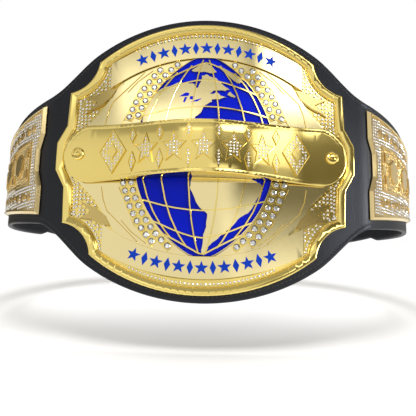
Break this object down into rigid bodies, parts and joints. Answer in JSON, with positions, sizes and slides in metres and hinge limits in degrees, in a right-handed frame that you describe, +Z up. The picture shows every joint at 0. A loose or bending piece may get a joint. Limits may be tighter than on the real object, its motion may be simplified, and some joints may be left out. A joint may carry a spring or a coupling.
{
  "type": "championship_belt",
  "caption": "Gold championship title belt with a globe, an arched star banner, crystal-set plates and a black leather strap closed as worn",
  "frame": {"origin": "middle of the waist hollow, half way between the strap's outer face at the front and at the back, at the banner's mid height", "axes": "+X to the right as the front is seen, +Y from the front plate to the back of the waist, +Z up along the wearer's body"},
  "size_m": [0.4138, 0.3545, 0.257],
  "materials": {
    "leather": "black, semi-gloss, stitched edges",
    "gold": "polished pale gold plating",
    "rosy_gold": "polished rosy gold plating",
    "enamel": "royal blue gloss enamel",
    "crystal": "clear cut crystal in raised settings",
    "nickel": "polished nickel"
  },
  "bodies": {
    "root": {"strap": "leather", "main_plate": "gold", "sunburst_panel": "gold", "upper_ribbon": "gold", "lower_ribbon": "gold", "globe_sea": "enamel", "globe_map": "gold", "banner": "gold", "stones_upper_left": "crystal", "stones_upper_right": "crystal", "stones_lower_left": "crystal", "stones_lower_right": "crystal", "side_plate_left": "rosy_gold", "side_plate_right": "rosy_gold", "banner_screw_1": "gold", "banner_screw_2": "gold", "plate_post_1": "nickel", "plate_post_2": "nickel", "side_post_1": "nickel", "side_post_2": "nickel", "side_post_3": "nickel", "side_post_4": "nickel", "press_stud_1": "nickel", "press_stud_2": "nickel", "press_stud_3": "nickel", "press_stud_4": "nickel"}
  },
  "joints": []
}
